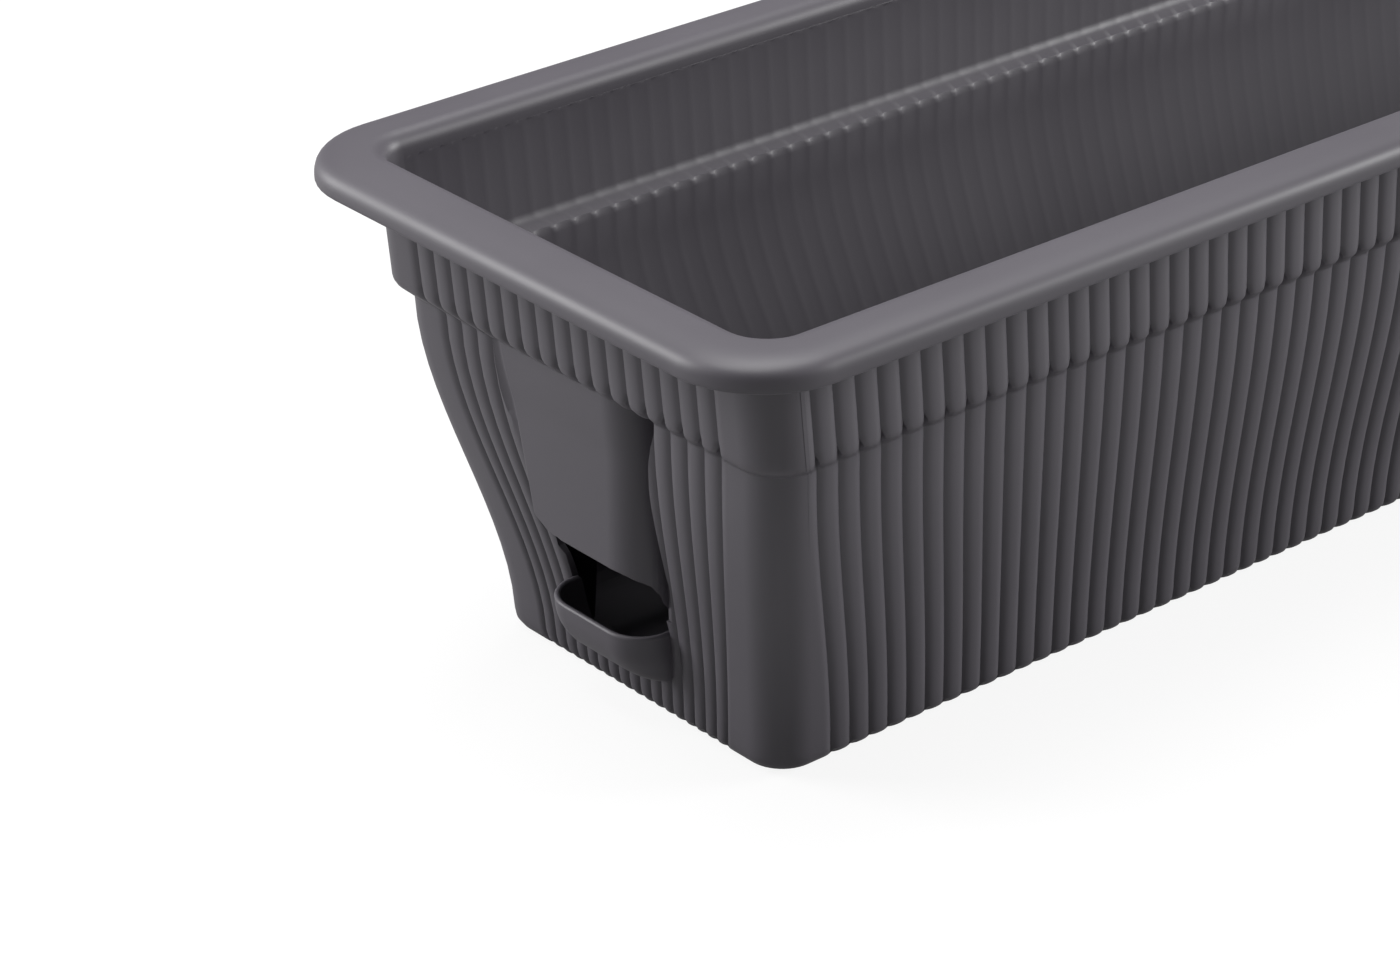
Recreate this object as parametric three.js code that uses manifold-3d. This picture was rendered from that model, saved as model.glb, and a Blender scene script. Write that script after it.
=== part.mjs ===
import * as THREE from 'three';
import * as BufferGeometryUtils from 'three/addons/utils/BufferGeometryUtils.js';
import Module from 'manifold-3d';

// Window box planter with a water reservoir, in millimetres, +Z up.
// Origin: middle of the underside. X runs along the box, Y across it.

// ---- Driving dimensions: the moulded box ----
const LENGTH = 800;            // over the rim
const WIDTH = 194;             // over the rim
const HEIGHT = 144.8;          // underside to top of rim
const WALL = 1.6;              // moulded wall
const FLOOR_THICKNESS = 1.8;
const END_SETBACK = 5.6;       // end walls stand this much further in than side walls
const END_DRAFT = 4.2;         // above the body they lean out by this much up to the rim

const RIM_DROP = 7.7;          // top of rim down to its outer lip
const RIM_WIDTH = 13.3;        // outer lip to the crown of the rim
const RIM_CORNER = 27.5;       // plan radius of the outer lip
const RIM_CROWN_CORNER = 15;   // and of its crown
const RIM_POWER = 0.57;        // 1 is an elliptic section, less is flatter with a steeper edge
const RIM_SKIN = 1.7;          // thickness of the rim at its lip
const RIM_HOLLOW_DROP = 2.7;   // top of rim down to the roof of the hollow under it
const RIM_HOLLOW_ROUND = 4;    // from the band's face out to the rim's sloping underside
const LIP_EDGE = 0.8;          // upright face at the very edge of the lip
const MOUTH_ROUND = 4.4;       // round from the rim's crown down into the box

const BAND_INSET = 16.2;       // lip to the face of the upper band
const BAND_CORNER = 12.5;
const BAND_BOTTOM = 105.5;
const SHOULDER_DROP = 4.5;     // slope from the band back to the body

const BODY_TOP_INSET = 20.4;   // lip to the body wall at its top
const BODY_FOOT_INSET = 38.5;  // lip to the body wall at its foot
const BODY_CORNER = 12;
const CURVE_FOOT = 2;          // height where the S-shaped wall starts
const CURVE_HEAD = 103;        // height where it ends
const FOOT_ROUND = 6;          // round at the bottom edge

// ---- Driving dimensions: the reeds ----
const REED_DEPTH = 0.9;
const SIDE_REEDS = 99;
const END_REEDS = 17;
const SIDE_PLAIN_TOP = 14;     // plain strip beside a corner on the long walls, at the top
const SIDE_PLAIN_FOOT = 18.5;  // and at the foot
const END_PLAIN = 20;          // plain strip beside a corner on the end walls

// ---- Driving dimensions: the filling point in the left end wall ----
const SPOUT_FRONT = 27.9;      // lip of the rim to the front of hood and scoop
const SPOUT_NEAR = -19.5;      // Y of its near side
const SPOUT_FAR = 22;          // Y of its far side
const SPOUT_ROUND = 11.5;      // plan radius of its corners
const SPOUT_BACK = 46.5;       // lip of the rim to where the hollow has opened into the box
const SCOOP_LIP = 30;          // height of the scoop's lip, which is the overflow level
const SCOOP_FOOT = 13.5;       // height where the scoop meets the wall
const SCOOP_DRAFT = 3.5;       // how much narrower each side is at its foot
const HOOD_BOTTOM = 50.7;      // height of the hood's lower edge
const HOOD_TOP = 103;
const HOOD_LEVELS = [83, 91];  // heights between its foot and top where it follows the wall
const PANEL_SINK = 0.2;        // its face stays this far behind the groove line of the wall
const HOOD_FAR = 23.5;         // Y of the hood's far edge at its foot
const HOOD_LEAN = 12;          // how far that edge leans out at the top
const HOOD_EDGE = 1.5;         // round of that edge
const HOOD_CORNER_WIDTH = 9;   // rounded corner at the foot of that edge
const HOOD_CORNER_RISE = 4.4;
const HOOD_CORNER_STOPS = [0.3, 0.5, 0.75, 1];  // shares of its width with a point of their own
const FLUTE_DEPTH = 39.5;      // lip of the rim to the back of the hollow beside the hood
const FLUTE_FOOT = 35;         // height of its lower end
// Edge of the reeded wall along that hollow: height and Y.
const FLUTE_EDGE = [[FLUTE_FOOT, -21.6], [47, -23.9], [78, -26], [90, -27.8], [HOOD_TOP, -30.5]];
// Opening between scoop and hood, seen along X: Y and height.
const WINDOW_FAR = [[21.6, SCOOP_LIP], [22.2, 34.5], [23, 37.3], [24.6, 40], [24.8, 43], [21.5, 49]];
const WINDOW_NEAR = [[-14, 49.6], [-16.6, 48], [-18.5, 46], [-19.2, 43.2], [-19.45, 39.5], [-19.6, 36]];

// ---- Driving dimensions: the lift-out false floors ----
const FLOORS = 2;
const DECK_TOP = 49.5;
const DECK_THICKNESS = 1.6;
const DECK_GAP = 1.4;          // deck edge to the wall beside it
const DECK_JOINT_GAP = 1.2;    // between the two false floors
const DECK_CORNER = 9;
const WICK_PITCH = 190;        // between the two wick cups of a false floor
const WICK_TOP = 48;           // across the cup's mouth
const WICK_FOOT = 36;          // across its foot
const WICK_CORNER = 8;
const WICK_WALL = 1.5;
const WICK_SLOTS = 3;          // per side
const WICK_SLOT_WIDTH = 3;
const WICK_SLOT_HEIGHT = 14;
const WICK_SLOT_FOOT = 3;      // above the inside of the cup's foot
const SEAT_GAP = 0.3;          // feet to the box floor
const DRAIN_WIDTH = 3.5;
const DRAIN_LENGTH = 22;
const DRAIN_COLUMNS = 9;
const DRAIN_ROWS = 4;
const DRAIN_EDGE = 16;         // deck edge to the nearest drain slots
const RIB_HEIGHT = 3;
const RIB_THICKNESS = 1.5;
const RIB_INSET = 5;           // deck edge to the rib below it
const LEG_TOP = 10;            // across a leg at the deck
const LEG_FOOT = 7;            // across its foot
const LEG_CORNER = 1;
const LEG_INSET = 20;          // deck edge to the middle of a leg
const TONGUE_RISE = 6;         // tongue that closes the hood's hollow to the soil
const TONGUE_GAP = 1;

// ---- Fineness of curves ----
const ARC_STEPS = 6;
const RIM_STEPS = 5;
const BODY_LEVELS = [19, 37, 55, 75];
const SCOOP_LEVELS = 5;

// ---- How solids are made and joined ----
const MERGE_DISTANCE = 1e-5;
const CORNER_SHARE = 0.1;      // part of a ring's quarter that belongs to its corner
const OVERLAP = 0.5;           // how far joined solids reach into each other

const wasm = await Module();
wasm.setup();

// ---- Solids ----
function toManifold(geometry) {
  const bare = geometry.clone();
  bare.deleteAttribute('normal');
  bare.deleteAttribute('uv');
  const merged = BufferGeometryUtils.mergeVertices(bare, MERGE_DISTANCE);
  return new wasm.Manifold(new wasm.Mesh({
    numProp: 3,
    vertProperties: new Float32Array(merged.attributes.position.array),
    triVerts: new Uint32Array(merged.index.array),
  }));
}

function toGeometry(solid) {
  const mesh = solid.getMesh();
  const geometry = new THREE.BufferGeometry();
  geometry.setAttribute('position', new THREE.BufferAttribute(new Float32Array(mesh.vertProperties), 3));
  geometry.setIndex(new THREE.BufferAttribute(new Uint32Array(mesh.triVerts), 1));
  geometry.computeVertexNormals();
  return geometry;
}

// A closed solid through rings that follow each other from its bottom to its top.
// Each ring point holds x, y, z and u, its place around the ring; rings may differ in count.
function loft(rings) {
  const positions = [];
  const triangles = [];
  const starts = rings.map((ring) => {
    const start = positions.length / 3;
    ring.forEach((p) => positions.push(p.x, p.y, p.z));
    return start;
  });
  for (let r = 0; r + 1 < rings.length; r += 1) {
    joinRings(rings[r], starts[r], rings[r + 1], starts[r + 1], triangles);
  }
  const last = rings.length - 1;
  for (let i = 1; i + 1 < rings[0].length; i += 1) {
    triangles.push(starts[0], starts[0] + i + 1, starts[0] + i);
  }
  for (let i = 1; i + 1 < rings[last].length; i += 1) {
    triangles.push(starts[last], starts[last] + i, starts[last] + i + 1);
  }
  const geometry = new THREE.BufferGeometry();
  geometry.setAttribute('position', new THREE.BufferAttribute(new Float32Array(positions), 3));
  geometry.setIndex(triangles);
  return toManifold(geometry);
}

// Triangles between two rings, stepping along whichever ring is behind.
function joinRings(lower, lowerStart, upper, upperStart, triangles) {
  let i = 0;
  let j = 0;
  const place = (ring, k) => (k < ring.length ? ring[k].u : ring[k - ring.length].u + 1);
  while (i < lower.length || j < upper.length) {
    const nextLower = i < lower.length ? place(lower, i + 1) : Infinity;
    const nextUpper = j < upper.length ? place(upper, j + 1) : Infinity;
    const a = lowerStart + (i % lower.length);
    const b = upperStart + (j % upper.length);
    if (nextLower <= nextUpper) {
      triangles.push(a, lowerStart + ((i + 1) % lower.length), b);
      i += 1;
    } else {
      triangles.push(a, upperStart + ((j + 1) % upper.length), b);
      j += 1;
    }
  }
}

// ---- Outlines of the box ----
function smooth(t) {
  const s = Math.min(1, Math.max(0, t));
  return s * s * (3 - 2 * s);
}

function bodyInset(z) {
  const rise = smooth((z - CURVE_FOOT) / (CURVE_HEAD - CURVE_FOOT));
  return BODY_FOOT_INSET + (BODY_TOP_INSET - BODY_FOOT_INSET) * rise;
}

// How much further in the end walls stand at height z.
function endSetback(z) {
  return END_SETBACK - END_DRAFT * Math.max(0, (z - BAND_BOTTOM) / (HEIGHT - BAND_BOTTOM));
}

// Points along one wall: t runs along it, out is how far a point stands off the groove line.
function wallRun(halfRun, reedRun, reeds) {
  const pitch = (2 * reedRun) / reeds;
  const run = [
    { t: -halfRun, out: REED_DEPTH },
    { t: -reedRun - pitch / 2, out: REED_DEPTH },
    { t: -reedRun, out: 0 },
  ];
  for (let k = 1; k <= reeds; k += 1) {
    run.push({ t: -reedRun + (k - 0.5) * pitch, out: REED_DEPTH });
    run.push({ t: -reedRun + k * pitch, out: 0 });
  }
  run.push({ t: reedRun + pitch / 2, out: REED_DEPTH });
  run.push({ t: halfRun, out: REED_DEPTH });
  return run;
}

// Rounded rectangle at height z, set in from the rim's lip, with or without reeds.
function outline(z, inset, corner, reedPlain) {
  const reeded = reedPlain !== undefined;
  const proud = reeded ? REED_DEPTH : 0;
  const halfX = LENGTH / 2 - inset - endSetback(z) * Math.min(1, inset / RIM_WIDTH);
  const halfY = WIDTH / 2 - inset;
  const tangentX = halfX + proud - corner;
  const tangentY = halfY + proud - corner;
  const plain = (tangent) => [{ t: -tangent, out: proud }, { t: tangent, out: proud }];
  const side = reeded ? wallRun(tangentX, halfX - reedPlain, SIDE_REEDS) : plain(tangentX);
  const end = reeded ? wallRun(tangentY, halfY - END_PLAIN, END_REEDS) : plain(tangentY);
  const ring = [];
  const walls = [
    { run: side, half: halfY, tangent: tangentX, turn: 0 },
    { run: end, half: halfX, tangent: tangentY, turn: 1 },
    { run: side, half: halfY, tangent: tangentX, turn: 2 },
    { run: end, half: halfX, tangent: tangentY, turn: 3 },
  ];
  walls.forEach(({ run, half, tangent, turn }) => {
    const angle = (turn * Math.PI) / 2;
    const at = (t, down, u) => ({
      x: t * Math.cos(angle) + down * Math.sin(angle),
      y: t * Math.sin(angle) - down * Math.cos(angle),
      z,
      u: (turn + u) / 4,
    });
    run.forEach((p) => {
      const share = (1 - CORNER_SHARE) * ((p.t + tangent) / (2 * tangent));
      ring.push(at(p.t, half + p.out, share));
    });
    const reach = half + proud - corner;
    for (let k = 1; k < ARC_STEPS; k += 1) {
      const a = (k / ARC_STEPS) * (Math.PI / 2);
      const share = CORNER_SHARE * (k / ARC_STEPS);
      ring.push(at(tangent + corner * Math.sin(a), reach + corner * Math.cos(a), 1 - CORNER_SHARE + share));
    }
  });
  return ring;
}

// Plain strip beside a corner on the long walls, which widens towards the foot.
function sidePlain(z) {
  const share = (bodyInset(z) - BODY_TOP_INSET) / (BODY_FOOT_INSET - BODY_TOP_INSET);
  return SIDE_PLAIN_TOP + (SIDE_PLAIN_FOOT - SIDE_PLAIN_TOP) * share;
}

function rimRings() {
  const lipHeight = HEIGHT - RIM_DROP;
  const roof = HEIGHT - RIM_HOLLOW_DROP;
  const rings = [
    outline(roof, BAND_INSET - RIM_HOLLOW_ROUND, BAND_CORNER + RIM_HOLLOW_ROUND),
    outline(lipHeight, RIM_SKIN, RIM_CORNER - RIM_SKIN),
    outline(lipHeight, 0, RIM_CORNER),
  ];
  for (let k = 0; k <= RIM_STEPS; k += 1) {
    const a = (k / RIM_STEPS) * (Math.PI / 2);
    const away = k === RIM_STEPS ? 1 : 1 - Math.cos(a) ** RIM_POWER;
    const rise = k === 0 ? LIP_EDGE : RIM_DROP * Math.sin(a) ** RIM_POWER;
    const corner = RIM_CORNER + (RIM_CROWN_CORNER - RIM_CORNER) * away;
    rings.push(outline(lipHeight + rise, RIM_WIDTH * away, corner));
  }
  return rings;
}

function boxOuter() {
  const bodyTop = BAND_BOTTOM - SHOULDER_DROP;
  const body = (z) => outline(z, bodyInset(z), BODY_CORNER, sidePlain(z));
  const band = (z) => outline(z, BAND_INSET, BAND_CORNER, SIDE_PLAIN_TOP);
  const turn = FOOT_ROUND * (1 - Math.SQRT1_2);
  const foot = bodyInset(FOOT_ROUND);
  return loft([
    outline(0, foot + FOOT_ROUND, BODY_CORNER - FOOT_ROUND),
    outline(turn, foot + turn, BODY_CORNER - turn, sidePlain(0)),
    ...[FOOT_ROUND, ...BODY_LEVELS, bodyTop].map(body),
    band(BAND_BOTTOM),
    band(HEIGHT - RIM_HOLLOW_DROP),
    ...rimRings(),
  ]);
}

function boxInner() {
  const corner = BODY_CORNER - WALL;
  const wall = (z) => outline(z, bodyInset(z) + WALL, corner);
  const mouth = BAND_INSET + WALL;
  const ledge = BAND_BOTTOM - OVERLAP;
  const turn = MOUTH_ROUND * (1 - Math.SQRT1_2);
  const foot = FLOOR_THICKNESS + FOOT_ROUND;
  return loft([
    outline(FLOOR_THICKNESS, bodyInset(foot) + WALL + FOOT_ROUND, corner - FOOT_ROUND),
    ...[foot, ...BODY_LEVELS, ledge].map(wall),
    outline(ledge + SHOULDER_DROP, mouth, corner),
    outline(HEIGHT - MOUTH_ROUND, mouth, corner),
    outline(HEIGHT - turn, mouth - turn, corner + turn),
    outline(HEIGHT, mouth - MOUTH_ROUND, corner + MOUTH_ROUND),
    outline(HEIGHT + OVERLAP, mouth - MOUTH_ROUND, corner + MOUTH_ROUND),
  ]);
}

// ---- The filling point ----
function numbered(points) {
  return points.map((p, i) => ({ ...p, u: i / points.length }));
}

function endX(fromLip) {
  return -LENGTH / 2 + fromLip;
}

// Plan outline of hood or scoop: flat front with stops along it, rounded corners, open back.
function spoutOutline(z, front, near, far, nearRound, farRound, back, frontStops = []) {
  const points = [{ x: endX(back), y: near, z }, { x: endX(back), y: far, z }];
  for (let k = 0; k <= ARC_STEPS; k += 1) {
    const a = (k / ARC_STEPS) * (Math.PI / 2);
    const x = endX(front + farRound * (1 - Math.sin(a)));
    points.push({ x, y: far - farRound * (1 - Math.cos(a)), z });
  }
  frontStops.forEach((y) => points.push({ x: endX(front), y, z }));
  for (let k = 0; k <= ARC_STEPS; k += 1) {
    const a = (k / ARC_STEPS) * (Math.PI / 2);
    const x = endX(front + nearRound * (1 - Math.cos(a)));
    points.push({ x, y: near + nearRound * (1 - Math.sin(a)), z });
  }
  return numbered(points);
}

// Height of the hood's lower edge above its foot, at Y: it rises round the far corner.
function hoodCornerRise(y) {
  const t = Math.max(0, (y - HOOD_FAR + HOOD_CORNER_WIDTH) / HOOD_CORNER_WIDTH);
  return HOOD_CORNER_RISE * t * t;
}

// The hood's face is upright, and follows the wall where the wall stands further out.
function hoodFront(z) {
  return Math.min(SPOUT_FRONT, bodyInset(z) + END_SETBACK + PANEL_SINK);
}

function hoodLean(z) {
  return (HOOD_LEAN * (z - HOOD_BOTTOM)) / (HOOD_TOP - HOOD_BOTTOM);
}

function hood(skin) {
  const level = (z) => {
    const far = HOOD_FAR + hoodLean(z) - skin;
    const stops = HOOD_CORNER_STOPS.map((share) => far - share * HOOD_CORNER_WIDTH);
    return spoutOutline(
      z, hoodFront(z) + skin, SPOUT_NEAR + skin, far, SPOUT_ROUND - skin, HOOD_EDGE, SPOUT_BACK, stops,
    );
  };
  const turnStart = SPOUT_NEAR + SPOUT_ROUND - OVERLAP;
  const foot = level(HOOD_BOTTOM).map((p) => (
    { ...p, z: p.y < turnStart ? FLUTE_FOOT : HOOD_BOTTOM + hoodCornerRise(p.y) }
  ));
  return loft([foot, ...[...HOOD_LEVELS, HOOD_TOP + OVERLAP + skin].map(level)]);
}

// Bowl below the opening: a quarter ellipse from its lip down and back to the wall.
function scoop(skin) {
  const wallFoot = bodyInset(SCOOP_FOOT) + END_SETBACK;
  const level = (k) => {
    const a = (1 - k / SCOOP_LEVELS) * (Math.PI / 2);
    const z = SCOOP_LIP - (SCOOP_LIP - SCOOP_FOOT - skin) * Math.sin(a);
    const depth = (wallFoot - SPOUT_FRONT - skin) * Math.cos(a);
    const narrow = SCOOP_DRAFT * (1 - Math.cos(a)) + skin;
    const round = Math.max(OVERLAP, Math.min(SPOUT_ROUND - skin, depth));
    return spoutOutline(
      z, wallFoot - depth, SPOUT_NEAR + narrow, SPOUT_FAR - narrow, round, round, SPOUT_BACK,
    );
  };
  const rings = [];
  for (let k = 0; k <= SCOOP_LEVELS; k += 1) rings.push(level(k));
  if (skin > 0) rings.push(level(SCOOP_LEVELS).map((p) => ({ ...p, z: SCOOP_LIP + OVERLAP })));
  return loft(rings);
}

// Hollow beside the hood, and the shallow recess in which the upper part of its face lies.
function fluteHollow(skin) {
  const turnStart = SPOUT_NEAR + SPOUT_ROUND;
  const head = HOOD_TOP + skin;
  const ring = (z, near, far, depth) => numbered([
    { x: endX(0), y: near - skin, z },
    { x: endX(depth + skin), y: near - skin, z },
    { x: endX(depth + skin), y: far + skin, z },
    { x: endX(0), y: far + skin, z },
  ]);
  const deep = loft(FLUTE_EDGE.map(([z, y]) => (
    ring(z === HOOD_TOP ? head : z, y, turnStart, FLUTE_DEPTH)
  )));
  const levels = [HOOD_BOTTOM + HOOD_CORNER_RISE, ...HOOD_LEVELS, head];
  const shallow = loft(levels.map((z) => (
    ring(z, turnStart - OVERLAP, HOOD_FAR + hoodLean(z), hoodFront(z))
  )));
  return deep.add(shallow);
}

// Opening between the scoop's lip and the hood's lower edge.
function fillWindow() {
  const corners = [
    [SPOUT_NEAR - OVERLAP, SCOOP_LIP],
    ...WINDOW_FAR,
    [HOOD_FAR - HOOD_CORNER_WIDTH, HOOD_BOTTOM],
    [SPOUT_NEAR + SPOUT_ROUND, HOOD_BOTTOM],
    ...WINDOW_NEAR,
  ];
  const shape = new THREE.Shape(corners.map(([y, z]) => new THREE.Vector2(y, z)));
  const geometry = new THREE.ExtrudeGeometry(shape, { depth: SPOUT_BACK, bevelEnabled: false });
  // Shape X becomes Y, shape Y becomes Z, and the depth runs along X.
  geometry.applyMatrix4(new THREE.Matrix4().set(
    0, 0, 1, endX(0),
    1, 0, 0, 0,
    0, 1, 0, 0,
    0, 0, 0, 1,
  ));
  return toManifold(geometry);
}

function planterBox() {
  const outer = boxOuter().subtract(fluteHollow(0)).add(hood(0)).add(scoop(0));
  const inner = boxInner().subtract(fluteHollow(WALL)).add(hood(WALL)).add(scoop(WALL));
  return outer.subtract(inner).subtract(fillWindow());
}

// ---- The false floors ----
function roundedShape(width, depth, corner) {
  const points = [];
  [[1, -1, -90], [1, 1, 0], [-1, 1, 90], [-1, -1, 180]].forEach(([sideX, sideY, from]) => {
    for (let k = 0; k <= ARC_STEPS; k += 1) {
      const a = THREE.MathUtils.degToRad(from + (90 * k) / ARC_STEPS);
      const x = sideX * (width / 2 - corner) + corner * Math.cos(a);
      const y = sideY * (depth / 2 - corner) + corner * Math.sin(a);
      points.push({ x, y });
    }
  });
  return points;
}

function taperedBox(cx, cy, levels) {
  return loft(levels.map(([z, width, depth, corner]) => numbered(
    roundedShape(width, depth, corner).map((p) => ({ x: cx + p.x, y: cy + p.y, z })),
  )));
}

function block(x0, x1, y0, y1, z0, z1) {
  const geometry = new THREE.BoxGeometry(x1 - x0, y1 - y0, z1 - z0);
  geometry.translate((x0 + x1) / 2, (y0 + y1) / 2, (z0 + z1) / 2);
  return toManifold(geometry);
}

function deckPlan() {
  const under = DECK_TOP - DECK_THICKNESS;
  const clear = bodyInset(under) + WALL + DECK_GAP;
  const reach = LENGTH / 2 - clear - END_SETBACK;
  const length = (2 * reach - (FLOORS - 1) * DECK_JOINT_GAP) / FLOORS;
  return { under, width: WIDTH - 2 * clear, reach, length };
}

function wickCup(cx, foot) {
  const walls = WICK_WALL * 2;
  const round = WICK_CORNER - WICK_WALL;
  const solid = taperedBox(cx, 0, [
    [foot, WICK_FOOT, WICK_FOOT, WICK_CORNER],
    [DECK_TOP, WICK_TOP, WICK_TOP, WICK_CORNER],
  ]);
  let hollow = taperedBox(cx, 0, [
    [foot + WICK_WALL, WICK_FOOT - walls, WICK_FOOT - walls, round],
    [DECK_TOP, WICK_TOP - walls, WICK_TOP - walls, round],
    [DECK_TOP + OVERLAP, WICK_TOP - walls, WICK_TOP - walls, round],
  ]);
  const slotFoot = foot + WICK_WALL + WICK_SLOT_FOOT;
  const slotHead = slotFoot + WICK_SLOT_HEIGHT;
  const half = WICK_SLOT_WIDTH / 2;
  const reach = WICK_TOP / 2;
  for (let k = 0; k < WICK_SLOTS; k += 1) {
    const offset = ((k + 0.5) / WICK_SLOTS - 0.5) * (WICK_FOOT - WICK_CORNER);
    hollow = hollow
      .add(block(cx + offset - half, cx + offset + half, -reach, reach, slotFoot, slotHead))
      .add(block(cx - reach, cx + reach, offset - half, offset + half, slotFoot, slotHead));
  }
  return { solid, hollow };
}

function drainSlots(plan, cx, wicks) {
  const halfRun = plan.length / 2 - DRAIN_EDGE - DRAIN_LENGTH / 2;
  const halfWidth = plan.width / 2 - DRAIN_EDGE;
  const clearX = (WICK_TOP + DRAIN_LENGTH) / 2 + DRAIN_WIDTH;
  const clearY = (WICK_TOP + DRAIN_WIDTH) / 2 + DRAIN_WIDTH;
  const slots = [];
  for (let i = 0; i < DRAIN_COLUMNS; i += 1) {
    for (let j = 0; j < DRAIN_ROWS; j += 1) {
      const x = cx + halfRun * ((2 * i) / (DRAIN_COLUMNS - 1) - 1);
      const y = halfWidth * ((2 * j) / (DRAIN_ROWS - 1) - 1);
      const onCup = wicks.some((w) => Math.abs(x - w) < clearX && Math.abs(y) < clearY);
      if (!onCup) {
        slots.push(block(
          x - DRAIN_LENGTH / 2, x + DRAIN_LENGTH / 2, y - DRAIN_WIDTH / 2, y + DRAIN_WIDTH / 2,
          plan.under - OVERLAP, DECK_TOP + OVERLAP,
        ));
      }
    }
  }
  return slots;
}

// Notch in the left deck for the hollow beside the hood.
function fluteNotch() {
  const near = Math.min(...FLUTE_EDGE.map(([, y]) => y)) - WALL - TONGUE_GAP;
  const depth = FLUTE_DEPTH + WALL + TONGUE_GAP;
  return block(endX(0), endX(depth), near, SPOUT_NEAR + WALL + TONGUE_GAP, 0, HEIGHT);
}

// Stepped-up tongue that reaches into the hood's hollow and keeps soil out of the filling point.
function tongue(plan) {
  const front = SPOUT_FRONT + WALL + TONGUE_GAP;
  const near = SPOUT_NEAR + WALL + TONGUE_GAP;
  const far = HOOD_FAR - WALL - 2 * TONGUE_GAP;
  const edge = LENGTH / 2 - plan.reach;
  const back = edge + DECK_THICKNESS;
  const round = SPOUT_ROUND - WALL - TONGUE_GAP;
  const head = DECK_TOP + TONGUE_RISE;
  const level = (z) => spoutOutline(z, front, near, far, Math.min(round, back - front), HOOD_EDGE, back);
  const riser = block(endX(edge), endX(back), near, far, plan.under, head);
  return loft([level(head - DECK_THICKNESS), level(head)]).add(riser);
}

function legs(plan, cx, foot) {
  const solids = [];
  [-1, 0, 1].forEach((along) => [-1, 1].forEach((across) => {
    const x = cx + along * (plan.length / 2 - LEG_INSET);
    const y = across * (plan.width / 2 - LEG_INSET);
    solids.push(taperedBox(x, y, [
      [foot, LEG_FOOT, LEG_FOOT, LEG_CORNER],
      [plan.under + OVERLAP, LEG_TOP, LEG_TOP, LEG_CORNER],
    ]));
  }));
  return solids;
}

function ribs(plan, cx) {
  const run = plan.length / 2 - LEG_INSET;
  const half = RIB_THICKNESS / 2;
  return [-1, 1].map((side) => {
    const y = side * (plan.width / 2 - RIB_INSET);
    return block(cx - run, cx + run, y - half, y + half, plan.under - RIB_HEIGHT, plan.under + OVERLAP);
  });
}

function falseFloor(index) {
  const plan = deckPlan();
  const foot = FLOOR_THICKNESS + SEAT_GAP;
  const cx = -plan.reach + plan.length / 2 + index * (plan.length + DECK_JOINT_GAP);
  const wicks = [cx - WICK_PITCH / 2, cx + WICK_PITCH / 2];
  const cups = wicks.map((x) => wickCup(x, foot));
  const deck = taperedBox(cx, 0, [
    [plan.under, plan.length, plan.width, DECK_CORNER],
    [DECK_TOP, plan.length, plan.width, DECK_CORNER],
  ]);
  const solids = [deck, ...ribs(plan, cx), ...legs(plan, cx, foot), ...cups.map((cup) => cup.solid)];
  const cuts = [...drainSlots(plan, cx, wicks), ...cups.map((cup) => cup.hollow)];
  const body = wasm.Manifold.union(solids).subtract(wasm.Manifold.union(cuts));
  return index === 0 ? body.subtract(fluteNotch()).add(tongue(plan)) : body;
}

// ---- Assembly ----
function named(name, solid, colour, roughness) {
  const material = new THREE.MeshStandardMaterial({ color: colour, roughness, metalness: 0 });
  const mesh = new THREE.Mesh(toGeometry(solid), material);
  mesh.name = name;
  return mesh;
}

const planter = new THREE.Group();
planter.add(named('planter_box', planterBox(), '#5b575e', 0.55));
for (let i = 0; i < FLOORS; i += 1) {
  planter.add(named(`false_floor_${'ab'[i]}`, falseFloor(i), '#2b2a2d', 0.6));
}

export default planter;
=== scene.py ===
"""Looks of a moulded window box planter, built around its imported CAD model."""

import math

import bpy
import numpy as np
from bpy.props import FloatProperty, FloatVectorProperty, IntProperty, PointerProperty
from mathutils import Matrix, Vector


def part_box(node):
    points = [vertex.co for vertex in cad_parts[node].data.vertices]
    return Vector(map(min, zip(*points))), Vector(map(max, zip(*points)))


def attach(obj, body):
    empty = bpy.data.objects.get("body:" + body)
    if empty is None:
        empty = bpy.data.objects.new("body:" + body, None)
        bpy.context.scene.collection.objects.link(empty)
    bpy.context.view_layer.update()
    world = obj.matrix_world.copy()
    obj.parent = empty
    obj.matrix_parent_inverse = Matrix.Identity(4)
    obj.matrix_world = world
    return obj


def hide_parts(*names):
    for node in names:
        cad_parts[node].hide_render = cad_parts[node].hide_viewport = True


bl_info = {
    "name": "Window box planter",
    "version": (1, 0, 0),
    "blender": (4, 5, 0),
    "location": "View3D > Sidebar > Planter",
    "description": "Builds a reeded window box planter with its filling point and false floors",
    "category": "Object",
}

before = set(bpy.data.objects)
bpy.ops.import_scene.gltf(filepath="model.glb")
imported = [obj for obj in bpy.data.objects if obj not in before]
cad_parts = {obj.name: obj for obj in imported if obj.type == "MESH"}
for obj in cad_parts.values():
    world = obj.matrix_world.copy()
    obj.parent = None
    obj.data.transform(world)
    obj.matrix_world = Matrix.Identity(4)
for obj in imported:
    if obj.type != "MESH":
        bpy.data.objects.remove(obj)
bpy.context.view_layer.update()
LOW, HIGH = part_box("planter_box")
MM = 0.001


# ---------------------------------------------------------------- properties


def length(name, description, default, low=0.0):
    """A size in millimetres that a user may change."""
    return FloatProperty(name=name, description=description, default=default, min=low, precision=2)


def tint(name, description, default):
    """A colour a user may change, given as sRGB hex and kept linear."""
    return FloatVectorProperty(
        name=name, description=description, subtype="COLOR", size=3, min=0, max=1,
        default=linear(default),
    )


def linear(text):
    """Turns an sRGB hex colour into linear red, green and blue."""
    values = np.array([int(text[i:i + 2], 16) for i in (1, 3, 5)]) / 255
    return tuple(np.where(values <= 0.04045, values / 12.92, ((values + 0.055) / 1.055) ** 2.4))


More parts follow.
